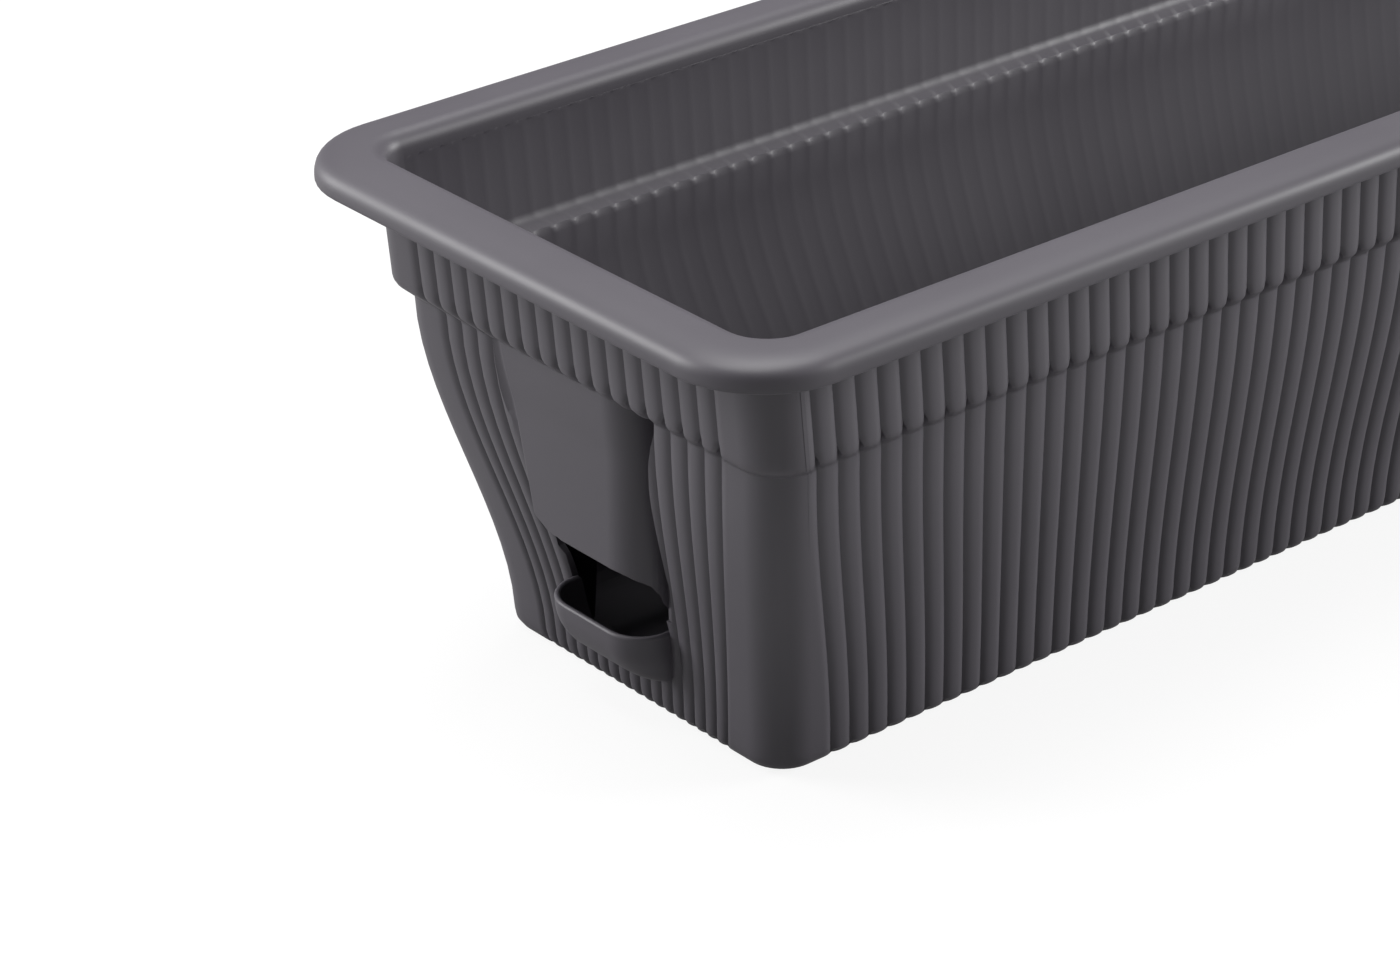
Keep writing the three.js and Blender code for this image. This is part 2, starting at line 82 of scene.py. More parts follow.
class BoxSizes(bpy.types.PropertyGroup):
    """Sizes of the moulded box, in millimetres."""

    length: length("Length", "Length over the rim (mm)", float(HIGH[0] - LOW[0]) / MM)
    width: length("Width", "Width over the rim (mm)", float(HIGH[1] - LOW[1]) / MM)
    height: length("Height", "Underside to the top of the rim (mm)", float(HIGH[2] - LOW[2]) / MM)
    wall: length("Wall", "Thickness of the moulded wall (mm)", 1.6, 0.5)
    floor: length("Floor", "Thickness of the floor (mm)", 1.8, 0.5)
    end_setback: length("End setback", "How much further in the end walls stand (mm)", 5.6)
    end_draft: length("End draft", "How far the ends lean out above the body (mm)", 4.2)
    rim_drop: length("Rim drop", "Top of the rim down to its lip (mm)", 7.7)
    rim_width: length("Rim width", "Lip of the rim to its crown (mm)", 13.3)
    rim_corner: length("Rim corner", "Plan radius of the rim's lip (mm)", 27.5)
    crown_corner: length("Crown corner", "Plan radius of the rim's crown (mm)", 15.0)
    mouth_round: length("Mouth round", "Round from the crown down into the box (mm)", 4.4)
    band_inset: length("Band inset", "Lip of the rim to the upper band (mm)", 16.2)
    band_bottom: length("Band foot", "Height of the band's lower edge (mm)", 105.5)
    band_corner: length("Band corner", "Plan radius of the band (mm)", 12.5)
    shoulder: length("Shoulder", "Height of the slope below the band (mm)", 4.5)
    body_top: length("Body inset", "Lip of the rim to the body wall, at its top (mm)", 20.4)
    body_foot: length("Foot inset", "Lip of the rim to the body wall, at its foot (mm)", 38.5)
    body_corner: length("Body corner", "Plan radius of the body (mm)", 12.0)
    foot_round: length("Foot round", "Round at the bottom edge (mm)", 6.0)


class ReedSizes(bpy.types.PropertyGroup):
    """Sizes of the upright reeds."""

    depth: length("Depth", "Crest to groove (mm)", 0.95)
    inside: length("Inner depth", "Reeds on the inner faces (mm)", 0.08)
    ledge: length("Ledge depth", "Reeds where they run out on the inner ledge (mm)", 0.42)
    end_rise: length("End rise", "How much higher a groove of the band ends than a crest (mm)", 2.2)
    side_count: IntProperty(
        name="Reeds per side", description="Reeds along a long wall", default=99, min=4,
    )
    end_count: IntProperty(
        name="Reeds per end", description="Reeds along an end wall", default=17, min=4,
    )
    steps: IntProperty(name="Steps", description="Faces across one reed", default=8, min=2)
    side_plain_top: length("Plain strip, top", "Beside a corner on a long wall (mm)", 14.0)
    side_plain_foot: length("Plain strip, foot", "Beside a corner on a long wall (mm)", 18.5)
    end_plain: length("Plain strip, end", "Beside a corner on an end wall (mm)", 20.0)


class FillSizes(bpy.types.PropertyGroup):
    """Sizes of the filling point in the left end wall."""

    front: length("Front", "Lip of the rim to the face of hood and scoop (mm)", 27.9)
    corner: length("Corner", "Plan radius of hood and scoop (mm)", 11.5)
    scoop_lip: length("Scoop lip", "Height of the overflow edge (mm)", 30.0)
    scoop_foot: length("Scoop foot", "Height where the scoop meets the wall (mm)", 13.5)
    hood_foot: length("Hood foot", "Height of the hood's lower edge (mm)", 50.7)
    hood_top: length("Hood top", "Height where the hood goes under the band (mm)", 103.0)
    hood_lean: length("Hood lean", "How far its far edge leans out at the top (mm)", 12.0)
    flute: length("Hollow depth", "Lip of the rim to the back of the hollow (mm)", 39.5)


class FloorSizes(bpy.types.PropertyGroup):
    """Sizes of the lift-out false floors."""

    top: length("Deck height", "Underside of the box to the top of the deck (mm)", 49.5)
    deck: length("Deck", "Thickness of the deck (mm)", 1.6, 0.5)
    gap: length("Gap", "Deck to the wall beside it (mm)", 1.4)
    joint_gap: length("Joint gap", "Between the two false floors (mm)", 1.2)
    cup_pitch: length("Cup pitch", "Between the two wick cups of a false floor (mm)", 190.0)
    cup_top: length("Cup mouth", "Across the mouth of a wick cup (mm)", 48.0)
    cup_foot: length("Cup foot", "Across the foot of a wick cup (mm)", 36.0)
    slot_length: length("Slot length", "Drain slot (mm)", 22.0)
    slot_width: length("Slot width", "Drain slot (mm)", 3.5)


class PlasticLook(bpy.types.PropertyGroup):
    """Colours of the two plastics."""

    box: tint("Box colour", "Anthracite of the moulded box", "#4a474d")
    floors: tint("Floor colour", "Black of the false floors", "#2a292c")


class StageLook(bpy.types.PropertyGroup):
    """Camera, floor and lamps."""

    azimuth: FloatProperty(
        name="Azimuth", description="Way the camera looks, from +Y towards +X",
        default=math.radians(40.38), subtype="ANGLE",
    )
    pitch: FloatProperty(
        name="Pitch", description="How far the camera looks down",
        default=math.radians(27.3), subtype="ANGLE",
    )
    lens: FloatProperty(name="Lens", description="Focal length", default=113.88, unit="CAMERA")
    place: FloatVectorProperty(
        name="Camera", description="Where the camera stands",
        default=(-1.01799, -0.80543, 0.60545), unit="LENGTH",
    )
    backdrop: tint("Backdrop", "Light thrown back by the floor", "#989898")


# ---------------------------------------------------------------- outlines

# Fineness of curves: steps over a quarter circle.
ARC = 12
# Degrees between two faces from which their edge stays a crease: the box and the false floors.
CREASE, FLOOR_CREASE = 28, 35
# Part of a ring's quarter that belongs to its corner.
CORNER_SHARE = 0.1
# How far joined solids reach into each other.
OVERLAP = 0.5

# The S-shaped wall: heights where its curve starts and ends, and levels between them.
CURVE_FOOT, CURVE_HEAD = 2.0, 103.0
OUTER_LEVELS, INNER_LEVELS = 15, 11
# Reed section: a higher power gives a broader crest and a sharper groove.
REED_POWER = 2.6
# Slope below the band, then its round lower edge: share of the step in, and height in shoulders.
SHOULDER = ((0.93, -0.72), (0.6, -0.42), (0.3, -0.16), (0.12, 0.0), (0.03, 0.2), (0, 0.45))
BAND_REEDS_LEVEL = 0.9
# Rim section: below 1 the superellipse is flat at its crown and steep at its lip.
RIM_POWER = 0.57
RIM_LEVELS = 20
RIM_START = 0.04
# Hollow under the rim: its roof below the crown, and how far that reaches out from the band.
RIM_ROOF, RIM_HOLLOW = 3.0, 4.0
# Underside of the lip and the small round at its lower edge: height above the lip, and inset.
LIP_EDGE = ((0, 1.7), (0, 0.6), (0.08, 0.3), (0.3, 0.08), (0.6, 0.0))
# Inside: the ledge's height below the band, where its reeds swell, and its section as rise and inset.
LEDGE_DROP, LEDGE_SWELL = 0.5, 1.6
LEDGE = ((0.9, 3.6), (2.4, 1.4), (3.6, 0.4), (5.2, 0))
# Below the top, the inner reeds run out: depth below the crown and share of their height.
INNER_RUN_OUT = ((9.0, 1.0), (8.2, 0.8), (7.4, 0.35), (6.6, 0.08))

# Filling point: Y of its sides, round of its edges, and where its hollow has opened into the box.
HOOD_NEAR, HOOD_FAR = -19.5, 23.5
HOOD_EDGE = 1.5
HOOD_CORNER = (9.0, 4.4)
HOOD_LEVELS = [82, 85, 88, 91, 95]
SCOOP_FAR = 22.0
SCOOP_DRAFT = 3.5
SPOUT_BACK = 46.5
PANEL_SINK = 0.2
# The recess round the hood's face: slope of its far side, and how far it lies behind the face.
RECESS_SLOPE = 2.1
FACE_GAP = 0.12
# Round edges on scoop and hood: thickness against the wall's, and the first quarter-turn's share
# at which the hood's starts, so that its end lies in the wall.
SCOOP_BEAD, HOOD_BEAD = 1.08, 1.02
BEAD_START = 0.3
# False floors: places and small sizes that follow the CAD model.
SEAT_GAP = 0.3
DECK_CORNER = 9.0
DECK_SOFT = (0.4, 0.5)
CUP_CORNER, CUP_WALL, CUP_SOFT = 8.0, 1.5, 2.0
CUP_HOLLOW_SOFT = 1.5
WICK_SLOT_WIDTH, WICK_SLOT_HEIGHT, WICK_SLOT_FOOT = 3.0, 14.0, 3.0
DRAIN_COLUMNS, DRAIN_ROWS, DRAIN_EDGE = 9, 4, 16.0
RIB_HEIGHT, RIB_THICKNESS, RIB_INSET = 3.0, 1.5, 5.0
LEG_TOP, LEG_FOOT, LEG_INSET = 10.0, 7.0, 20.0
LEG_CORNER, LEG_SOFT = 1.0, 0.6
TONGUE_RISE, TONGUE_GAP = 6.0, 1.0
# Edge of the reeded wall along the hollow beside the hood: height and Y.
FLUTE_EDGE = np.array([
    (35, -21.6), (41, -22.9), (47, -23.9), (62, -25), (78, -26), (84, -26.8), (90, -27.8), (103, -31),
])
# Opening between scoop and hood, seen along X: Y and height.
WINDOW_FAR = [(21.6, 30), (22.2, 34.5), (23, 37.3), (24.6, 40), (24.8, 43), (21.5, 49)]
WINDOW_NEAR = [
    (-11.5, 50.4), (-14, 49.6), (-16.6, 48), (-17.8, 46.9), (-18.5, 46), (-19.2, 43.2),
    (-19.45, 39.5), (-19.6, 36),
]


def ease(t):
    """Zero to one with level ends: 3t squared less 2t cubed, t held between 0 and 1."""
    t = np.clip(t, 0, 1)
    return t * t * (3 - 2 * t)


def body_inset(box, z):
    """Lip of the rim to the groove line of the body at height z: an S-curve from foot to top."""
    share = ease((z - CURVE_FOOT) / (CURVE_HEAD - CURVE_FOOT))
    return box.body_foot + (box.body_top - box.body_foot) * share


def side_plain(box, reeds, z):
    """Plain strip beside a corner on a long wall: it widens as the body narrows."""
    share = (body_inset(box, z) - box.body_top) / (box.body_foot - box.body_top)
    return reeds.side_plain_top + (reeds.side_plain_foot - reeds.side_plain_top) * share


def wall_run(tangent, reeded, count, steps, depth):
    """Points along one wall, as run t and stand-off.

    A reed is depth x (1 - |2f - 1| to the power REED_POWER), f going from 0 to 1 across it, so
    its crest is broad and the groove beside it sharp. Past the last half reed the wall is plain."""
    f = np.arange(-steps // 2, count * steps + steps // 2 + 1) / steps
    out = depth * (1 - np.abs(2 * (f % 1) - 1) ** REED_POWER)
    t = reeded * (2 * f / count - 1)
    return np.concatenate([[-tangent], t, [tangent]]), np.concatenate([[depth], out, [depth]])


def outline(box, reeds, z, inset, corner, depth=0.0, plain=None, steps=None, rise=0.0):
    """Rounded rectangle at height z as points and their place u from 0 to 1 around it.

    Each quarter is one wall run, turned by 90 degrees for each wall, then a corner arc.
    The end walls lean out above the body. A groove may lie higher than a crest, by rise."""
    lean = max(0, (z - box.band_bottom) / (box.height - box.band_bottom))
    setback = (box.end_setback - box.end_draft * lean) * min(1, inset / box.rim_width)
    half_x = box.length / 2 - inset - setback
    half_y = box.width / 2 - inset
    tangents = (half_x + depth - corner, half_y + depth - corner)
    points, places = [], []
    a = np.arange(1, ARC) / ARC * np.pi / 2
    for turn in range(4):
        end = turn % 2
        tangent, half = tangents[end], (half_y, half_x)[end]
        if plain is None:
            t, out = np.array([-tangent, tangent]), np.array([depth, depth])
        else:
            reeded = (half_x, half_y)[end] - (plain, reeds.end_plain)[end]
            count = (reeds.side_count, reeds.end_count)[end]
            t, out = wall_run(tangent, reeded, count, steps or reeds.steps, depth)
        share = (1 - CORNER_SHARE) * (t + tangent) / (2 * tangent)
        t = np.concatenate([t, tangent + corner * np.sin(a)])
        down = np.concatenate([half + out, half + depth - corner + corner * np.cos(a)])
        share = np.concatenate([share, 1 - CORNER_SHARE + CORNER_SHARE * np.arange(1, ARC) / ARC])
        groove = (1 - np.append(out, np.full(ARC - 1, depth)) / depth) ** 2 if rise else 0
        c, s = ((1, 0), (0, 1), (-1, 0), (0, -1))[turn]
        points.append(np.stack([t * c + down * s, t * s - down * c, z + rise * groove + 0 * t], 1))
        places.append((turn + share) / 4)
    return np.concatenate(points), np.concatenate(places)


def zip_rings(low_u, low_start, high_u, high_start):
    """Triangles between two closed rings whose counts may differ.

    Every step to a next point, on either ring, is sorted by the place it leads to. Each step
    makes one triangle with the point that the other ring has reached."""
    n, m = low_u.size, high_u.size
    ends = np.concatenate([low_u[1:], [1 + low_u[0]], high_u[1:], [1 + high_u[0]]])
    low = np.arange(n + m) < n
    order = np.lexsort((~low, ends.round(9)))
    low = low[order]
    i = np.cumsum(low) - low
    j = np.cumsum(~low) - ~low
    onward = np.where(low, low_start + (i + 1) % n, high_start + (j + 1) % m)
    return np.stack([low_start + i % n, onward, high_start + j % m], 1)


def loft(name, rings):
    """A closed mesh through rings that follow each other upwards, capped at both ends."""
    starts = np.cumsum([0] + [len(points) for points, _ in rings])
    strips = [
        zip_rings(rings[k][1], starts[k], rings[k + 1][1], starts[k + 1])
        for k in range(len(rings) - 1)
    ]
    bottom = np.arange(starts[1])[::-1]
    top = np.arange(starts[-2], starts[-1])
    return new_mesh(name, np.concatenate([points for points, _ in rings]), strips, [bottom, top])


def new_mesh(name, points, faces, caps=()):
    """A mesh object from points in millimetres, blocks of equal faces, and single many-sided caps."""
    mesh = bpy.data.meshes.new(name)
    corners = [block.ravel() for block in faces] + [np.asarray(cap) for cap in caps]
    totals = [np.full(len(block), block.shape[1]) for block in faces]
    totals += [np.array([len(cap)]) for cap in caps]
    corners, totals = np.concatenate(corners), np.concatenate(totals)
    mesh.vertices.add(len(points))
    mesh.vertices.foreach_set("co", (np.asarray(points, float) * MM).ravel())
    mesh.loops.add(corners.size)
    mesh.loops.foreach_set("vertex_index", corners.astype(np.int32))
    mesh.polygons.add(totals.size)
    mesh.polygons.foreach_set("loop_start", (np.cumsum(totals) - totals).astype(np.int32))
    mesh.update(calc_edges=True)
    mesh.validate()
    piece = bpy.data.objects.new(name, mesh)
    bpy.context.collection.objects.link(piece)
    return piece


def combine(piece, other, operation):
    """Joins or cuts one closed mesh with another, and removes the other."""
    step = piece.modifiers.new(operation, "BOOLEAN")
    step.operation = operation
    step.solver = "MANIFOLD"
    step.object = other
    graph = bpy.context.evaluated_depsgraph_get()
    graph.update()
    mesh = bpy.data.meshes.new_from_object(piece.evaluated_get(graph))
    if not mesh.polygons:
        raise RuntimeError(f"{operation} with {other.name} left nothing")
    piece.modifiers.clear()
    spent = piece.data
    piece.data = mesh
    bpy.data.meshes.remove(spent)
    spent = other.data
    bpy.data.objects.remove(other)
    bpy.data.meshes.remove(spent)
    return piece


def smooth(piece, degrees):
    """Shades a piece smooth, with a crease wherever two faces meet more sharply than this."""
    mesh = piece.data
    mesh.shade_smooth()
    mesh.set_sharp_from_angle(angle=math.radians(degrees))


# ---------------------------------------------------------------- the moulded box


def outer_skin(box, reeds):
    """Outside of the box: foot round, S-shaped reeded body, shoulder, reeded band and rim.

    The rim is a quarter of a superellipse in section, so it is flat at its crown and turns down
    at its lip; its plan radius shrinks from the lip to the crown."""
    foot = body_inset(box, box.foot_round)
    rings = []
    for a in np.radians((0, 22, 45, 68)):
        rise, away = box.foot_round * (1 - np.cos(a)), box.foot_round * (1 - np.sin(a))
        corner = max(box.body_corner - away, 1.0)
        depth = reeds.depth * ease(a / np.radians(60))
        rings.append(outline(box, reeds, rise, foot + away, corner, depth, side_plain(box, reeds, 0)))
    for z in np.linspace(box.foot_round, box.band_bottom - box.shoulder, OUTER_LEVELS):
        plain = side_plain(box, reeds, z)
        rings.append(outline(box, reeds, z, body_inset(box, z), box.body_corner, reeds.depth, plain))
    plain, corner, step = reeds.side_plain_top, box.band_corner, box.body_top - box.band_inset
    for share, height in SHOULDER:
        z = box.band_bottom + height * box.shoulder
        rise = reeds.end_rise * (1 - share)
        rings.append(outline(
            box, reeds, z, box.band_inset + share * step, corner, reeds.depth, plain, rise=rise,
        ))
    roof = box.height - RIM_ROOF
    for z in (box.band_bottom + BAND_REEDS_LEVEL * box.shoulder, roof):
        rings.append(outline(box, reeds, z, box.band_inset, corner, reeds.depth, plain))
    lip = box.height - box.rim_drop
    rings.append(outline(box, reeds, roof, box.band_inset - RIM_HOLLOW, box.band_corner + RIM_HOLLOW))
    for rise, inset in LIP_EDGE:
        rings.append(outline(box, reeds, lip + rise, inset, box.rim_corner - inset))
    for a in np.linspace(RIM_START, np.pi / 2, RIM_LEVELS):
        away = 1 - max(np.cos(a), 0) ** RIM_POWER
        inset = box.rim_width * away
        corner = box.rim_corner + (box.crown_corner - box.rim_corner) * away
        z = lip + box.rim_drop * np.sin(a) ** RIM_POWER
        rings.append(outline(box, reeds, z, inset, corner))
    return loft("moulded_box", rings)


def inner_skin(box, reeds):
    """Space inside the box: floor, body with faint reeds, ledge, band and the mouth's round."""
    corner = box.body_corner - box.wall
    mouth = box.band_inset + box.wall
    ledge = box.band_bottom - LEDGE_DROP
    foot = box.floor + box.foot_round
    rings = []
    for a in np.radians((0, 30, 60)):
        rise, away = box.foot_round * (1 - np.cos(a)), box.foot_round * (1 - np.sin(a))
        inset = body_inset(box, foot) + box.wall + away
        rings.append(outline(box, reeds, box.floor + rise, inset, corner - away))

    def level(z, inset, plain, depth=reeds.inside):
        rings.append(outline(box, reeds, z, inset, corner, depth, plain))

    for z in np.linspace(foot, ledge - LEDGE_SWELL, INNER_LEVELS):
        level(z, body_inset(box, z) + box.wall, side_plain(box, reeds, z))
    plain = reeds.side_plain_top
    level(ledge, body_inset(box, ledge) + box.wall, plain, reeds.ledge)
    for rise, step in LEDGE:
        level(ledge + rise, mouth + step, plain)
    for below, share in INNER_RUN_OUT:
        rings.append(outline(
            box, reeds, box.height - below, mouth, corner, share * reeds.inside, plain,
        ))
    for a in np.linspace(0, np.pi / 2, 9):
        away = box.mouth_round * (1 - np.cos(a))
        z = box.height - box.mouth_round * (1 - np.sin(a))
        rings.append(outline(box, reeds, z, mouth - away, corner + away))
    rings.append(outline(
        box, reeds, box.height + 1, mouth - box.mouth_round, corner + box.mouth_round,
    ))
    return loft("inside", rings)


def end_x(box, inset):
    """X of a point this far in from the rim's lip at the left end."""
    return -box.length / 2 + inset


def spout_outline(box, z, front, near, far, near_round, far_round, stops=(), back=SPOUT_BACK):
    """Plan outline of hood or scoop: open back, far corner arc, flat front, near corner arc."""
    a = np.linspace(0, np.pi / 2, ARC + 1)
    x = np.concatenate([
        [back, back], front + far_round * (1 - np.sin(a)), np.full(len(stops), front),
        front + near_round * (1 - np.cos(a)),
    ])
    y = np.concatenate([
        [near, far], far - far_round * (1 - np.cos(a)), stops, near + near_round * (1 - np.sin(a)),
    ])
    z = np.broadcast_to(np.asarray(z, float), x.shape)
    return np.stack([end_x(box, x), y, z], 1), np.arange(x.size) / x.size


def hood_front(box, fill, z):
    """The hood's face is upright, and follows the wall where that stands further out."""
    return min(fill.front, body_inset(box, z) + box.end_setback + PANEL_SINK)


def hood_far(fill, z):
    """Y of the hood's far edge: a straight line that leans out towards the top."""
    return HOOD_FAR + fill.hood_lean * (z - fill.hood_foot) / (fill.hood_top - fill.hood_foot)


def hood(box, fill, skin):
    """Hood over the opening; its lower edge rises as a parabola round the far corner."""
    width, rise = HOOD_CORNER

    def level(z):
        far = hood_far(fill, z) - skin
        stops = far - np.linspace(0.25, 1, 7) * width
        return spout_outline(
            box, z, hood_front(box, fill, z) + skin, HOOD_NEAR + skin, far, fill.corner - skin,
            HOOD_EDGE, stops,
        )

    points, places = level(fill.hood_foot)
    y = points[:, 1]
    t = np.maximum(0, (y - HOOD_FAR + width) / width)
    turned = y < HOOD_NEAR + fill.corner - OVERLAP
    points[:, 2] = np.where(turned, FLUTE_EDGE[0, 0], fill.hood_foot + rise * t * t)
    levels = HOOD_LEVELS + [fill.hood_top + OVERLAP + skin]
    return loft("hood", [(points, places)] + [level(z) for z in levels])


def scoop(box, fill, skin):
    """Bowl under the opening: a quarter ellipse from its lip down and back to the wall."""
    wall = body_inset(box, fill.scoop_foot) + box.end_setback
    rings = []
    for a in np.linspace(np.pi / 2, 0, ARC):
        z = fill.scoop_lip - (fill.scoop_lip - fill.scoop_foot - skin) * np.sin(a)
        depth = (wall - fill.front - skin) * np.cos(a)
        narrow = SCOOP_DRAFT * (1 - np.cos(a)) + skin
        corner = max(OVERLAP, min(fill.corner - skin, depth))
        rings.append(spout_outline(
            box, z, wall - depth, HOOD_NEAR + narrow, SCOOP_FAR - narrow, corner, corner,
        ))
    if skin > 0:
        points = rings[-1][0] + (0, 0, OVERLAP)
        rings.append((points, rings[-1][1]))
    return loft("scoop", rings)


def slab(box, z, near, far, depth, slope=0.0):
    """Plan rectangle that reaches from the rim's lip to this depth; its far side may slope."""
    x = end_x(box, np.array([0, depth, depth, 0.0]))
    y = np.array([near, near, far, far + slope * depth])
    return np.stack([x, y, np.full(4, float(z))], 1), np.arange(4) / 4


def flute_hollow(box, fill, skin):
    """Deep hollow beside the hood, whose outer edge follows the reeds."""
    turn = HOOD_NEAR + fill.corner + skin
    heights = FLUTE_EDGE[:, 0] + (FLUTE_EDGE[:, 0] == FLUTE_EDGE[-1, 0]) * skin
    return loft("hollow", [
        slab(box, z, y - skin, turn, fill.flute + skin) for z, y in zip(heights, FLUTE_EDGE[:, 1])
    ])


def hood_recess(box, fill, skin):
    """Shallow recess that takes the reeds away where the hood's face lies."""
    near = HOOD_NEAR + fill.corner - OVERLAP - skin
    levels = [fill.hood_foot + HOOD_CORNER[1]] + HOOD_LEVELS + [fill.hood_top + skin]
    depths = [hood_front(box, fill, z) + skin + FACE_GAP for z in levels]
    return loft("recess", [
        slab(box, z, near, hood_far(fill, z) + skin, depth, RECESS_SLOPE)
        for z, depth in zip(levels, depths)
    ])


def window(box, fill):
    """Opening between the scoop's lip and the hood's edge: one outline carried along X."""
    outline_yz = np.array(
        [(HOOD_NEAR - OVERLAP, fill.scoop_lip)] + WINDOW_FAR
        + [(HOOD_FAR - HOOD_CORNER[0], fill.hood_foot), (HOOD_NEAR + fill.corner, fill.hood_foot)]
        + WINDOW_NEAR
    )
    n = len(outline_yz)
    near = np.column_stack([np.full(n, end_x(box, 0)), outline_yz])
    far = near + (SPOUT_BACK, 0, 0)
    k = np.arange(n)
    sides = np.stack([k, (k + 1) % n, (k + 1) % n + n, k + n], 1)
    return new_mesh("window", np.concatenate([near, far]), [sides], [k[::-1], k + n])


def tube(name, path, radius):
    """Round bar along a path: circles turned square to it, each point path + r(cos a u + sin a v)."""
    ahead = np.gradient(path, axis=0)
    ahead /= np.linalg.norm(ahead, axis=1, keepdims=True)
    side = np.cross(ahead, (0.0, 0.0, 1.0))
    side /= np.linalg.norm(side, axis=1, keepdims=True)
    up = np.cross(side, ahead)
    a = np.arange(16) / 16 * 2 * np.pi
    rings = [
        (p + radius * (np.cos(a)[:, None] * s + np.sin(a)[:, None] * u), a / (2 * np.pi))
        for p, s, u in zip(path, side, up)
    ]
    return loft(name, rings)


def scoop_bead(box, fill):
    """Round edge on the scoop's lip, along the middle of its wall."""
    half = box.wall / 2
    wall = body_inset(box, fill.scoop_lip) + box.end_setback + half
    points, _ = spout_outline(
        box, fill.scoop_lip, fill.front + half, HOOD_NEAR + half, SCOOP_FAR - half,
        fill.corner - half, fill.corner - half,
    )
    path = np.roll(points, -1, axis=0)
    path[[0, -1], 0] = end_x(box, wall)
    return tube("scoop_bead", path, half * SCOOP_BEAD)


def hood_bead(box, fill):
    """Round edge on the hood's lower edge, where the opening cuts it."""
    half = box.wall / 2
    edge = np.array(
        WINDOW_NEAR[::-1] + [
            (HOOD_NEAR + fill.corner, fill.hood_foot), (HOOD_FAR - HOOD_CORNER[0], fill.hood_foot),
        ] + WINDOW_FAR[:-2:-1]
    )
    radius = fill.corner - half
    a = np.linspace(BEAD_START, 1, ARC) * np.pi / 2
    turn = HOOD_NEAR + half + radius
    straight = np.linspace(turn, HOOD_FAR - HOOD_CORNER[0], 8)[1:]
    front = fill.front + half
    y = np.concatenate([turn - radius * np.cos(a), straight])
    x = np.concatenate([front + radius * (1 - np.sin(a)), np.full(straight.size, front)])
    z = np.interp(y, edge[:, 0], edge[:, 1])
    # Both ends rise into the wall of the hood.
    z[[0, -1]] += half
    return tube("hood_bead", np.stack([end_x(box, x), y, z], 1), half * HOOD_BEAD)


def moulded_box(box, reeds, fill):
    """One moulding: the outer skin with hollow, hood and scoop, less the same set in by the wall."""
    piece = outer_skin(box, reeds)
    inside = inner_skin(box, reeds)
    for body, skin in ((piece, 0.0), (inside, box.wall)):
        combine(body, flute_hollow(box, fill, skin), "DIFFERENCE")
        combine(body, hood_recess(box, fill, skin), "DIFFERENCE")
        combine(body, hood(box, fill, skin), "UNION")
        combine(body, scoop(box, fill, skin), "UNION")
    combine(piece, inside, "DIFFERENCE")
    combine(piece, window(box, fill), "DIFFERENCE")
    combine(piece, scoop_bead(box, fill), "UNION")
    combine(piece, hood_bead(box, fill), "UNION")
    smooth(piece, CREASE)
    return piece


# ---------------------------------------------------------------- the false floors


def rounded_rectangle(x, y, z, width, depth, corner):
    """Rectangle with quarter-circle corners, anticlockwise, at height z."""
    a = np.linspace(-np.pi / 2, 0, ARC // 2 + 1) + np.arange(4)[:, None] * np.pi / 2
    across = np.array([[1], [1], [-1], [-1]]) * (width / 2 - corner) + corner * np.cos(a)
    along = np.array([[-1], [1], [1], [-1]]) * (depth / 2 - corner) + corner * np.sin(a)
    points = np.stack([x + across.ravel(), y + along.ravel(), np.full(a.size, float(z))], 1)
    return points, np.arange(a.size) / a.size


def tapered(name, x, y, low, high, corner, soft_low=0.0, soft_high=0.0):
    """Rounded rectangle that changes evenly from one height to another.

    Low and high hold height, width and depth. Soft edges are quarter circles: at angle a the
    outline stands in by soft x (1 - sin a) and up or down by soft x (1 - cos a)."""
    def ring(height, away):
        share = (height - low[0]) / (high[0] - low[0])
        width, depth = (low[k] + (high[k] - low[k]) * share - 2 * away for k in (1, 2))
        return rounded_rectangle(x, y, height, width, depth, corner - away)

    a = np.radians((0, 30, 60, 90))
    # An edge that isn't soft needs only the one ring at which the others end.
    up = a if soft_low else a[-1:]
    down = a[::-1] if soft_high else a[-1:]
    rings = [ring(low[0] + soft_low * (1 - np.cos(t)), soft_low * (1 - np.sin(t))) for t in up]
    rings += [ring(high[0] - soft_high * (1 - np.cos(t)), soft_high * (1 - np.sin(t))) for t in down]
    return loft(name, rings)


def blocks(name, corners):
    """Closed blocks in one mesh, each given by its low and its high corner.

    Corner k of a block takes its X, Y and Z from the three bits of k."""
    low, high = corners[:, :1], corners[:, 1:]
    pick = np.array([[k & 1, k >> 1 & 1, k >> 2] for k in range(8)])
    points = (low + pick * (high - low)).reshape(-1, 3)
    quads = np.array([
        [0, 2, 3, 1], [4, 5, 7, 6], [0, 1, 5, 4], [2, 6, 7, 3], [0, 4, 6, 2], [1, 3, 7, 5],
    ])
    faces = quads + 8 * np.arange(len(corners))[:, None, None]
    return new_mesh(name, points, [faces.reshape(-1, 4)])


def drain_slots(floors, x, span, width, cups):
    """Slots on an even grid over the deck, left out round the wick cups."""
    half_run = span / 2 - DRAIN_EDGE - floors.slot_length / 2
    column = x + half_run * np.linspace(-1, 1, DRAIN_COLUMNS)
    row = (width / 2 - DRAIN_EDGE) * np.linspace(-1, 1, DRAIN_ROWS)
    middle = np.stack(np.meshgrid(column, row), -1).reshape(-1, 2)
    clear = np.array([
        (floors.cup_top + floors.slot_length) / 2 + floors.slot_width,
        (floors.cup_top + floors.slot_width) / 2 + floors.slot_width,
    ])
    for cup in cups:
        middle = middle[(np.abs(middle - (cup, 0)) >= clear).any(axis=1)]
    half = np.array([floors.slot_length, floors.slot_width]) / 2
    under = floors.top - floors.deck
    low = np.column_stack([middle - half, np.full(len(middle), under - OVERLAP)])
    high = np.column_stack([middle + half, np.full(len(middle), floors.top + OVERLAP)])
    return blocks("drain_slots", np.stack([low, high], 1))


